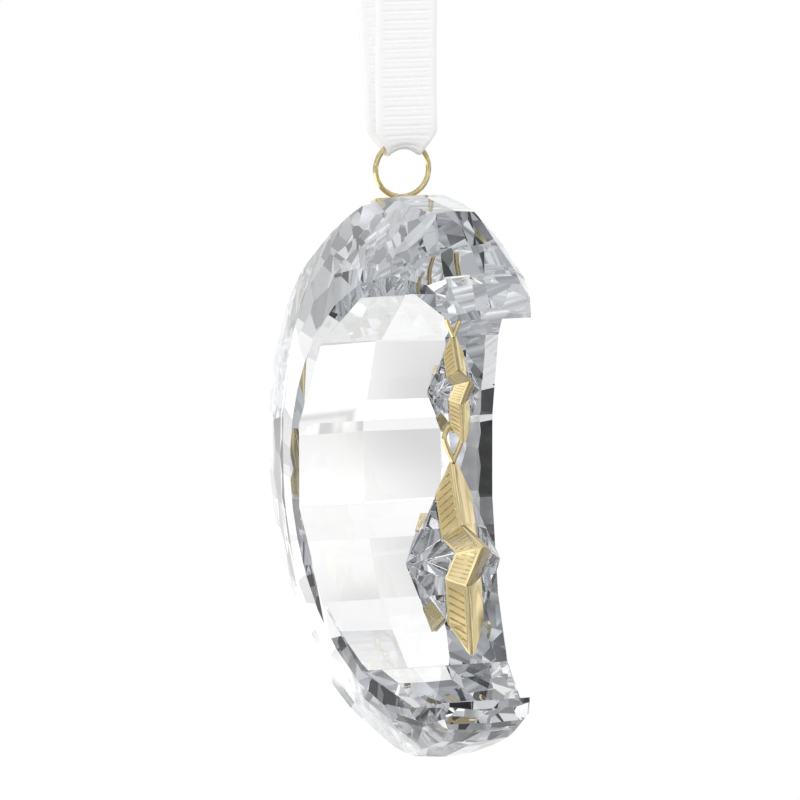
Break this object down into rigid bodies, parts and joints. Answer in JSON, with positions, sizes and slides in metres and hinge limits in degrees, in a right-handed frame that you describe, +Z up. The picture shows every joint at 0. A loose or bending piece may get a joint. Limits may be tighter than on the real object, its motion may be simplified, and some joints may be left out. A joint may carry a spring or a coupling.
{
  "type": "moon ornament",
  "caption": "Faceted crystal crescent moon hanging from a ribbon loop by a metal ring, with a small and a large framed crystal star hung one below the other in its hollow.",
  "frame": {"origin": "inside of the ribbon loop's top, where a hook or a branch carries it", "axes": "+Z up; the crescent lies in the XZ plane with its horns towards +X; +Y through the hollow to the back"},
  "size_m": [0.0603, 0.0268, 0.1277],
  "materials": {
    "crystal": "polished facets",
    "gold": "polished pale gold plate",
    "ribbon": "white grosgrain with fine cross ribs"
  },
  "bodies": {
    "ribbon": {"ribbon_loop": "ribbon"},
    "moon": {"hanging_ring": "gold", "cap_plate": "gold", "moon_crystal": "crystal", "horn_eye_pin": "gold"},
    "small_star": {"small_star_frame": "gold", "small_star_stone": "crystal"},
    "big_star": {"big_star_frame": "gold", "big_star_stone": "crystal"}
  },
  "joints": [
    {"name": "moon_swing", "type": "hinge", "parent": "ribbon", "child": "moon", "pos_m": [0, 0, -0.05124], "axis": [0, 1, 0], "range_deg": [-45, 45]},
    {"name": "small_star_swing", "type": "hinge", "parent": "moon", "child": "small_star", "pos_m": [0.0205, 0, -0.07026], "axis": [1, 0, 0], "range_deg": [-60, 60]},
    {"name": "big_star_swing", "type": "hinge", "parent": "small_star", "child": "big_star", "pos_m": [0.0205, 0, -0.08473], "axis": [1, 0, 0], "range_deg": [-45, 45]}
  ]
}
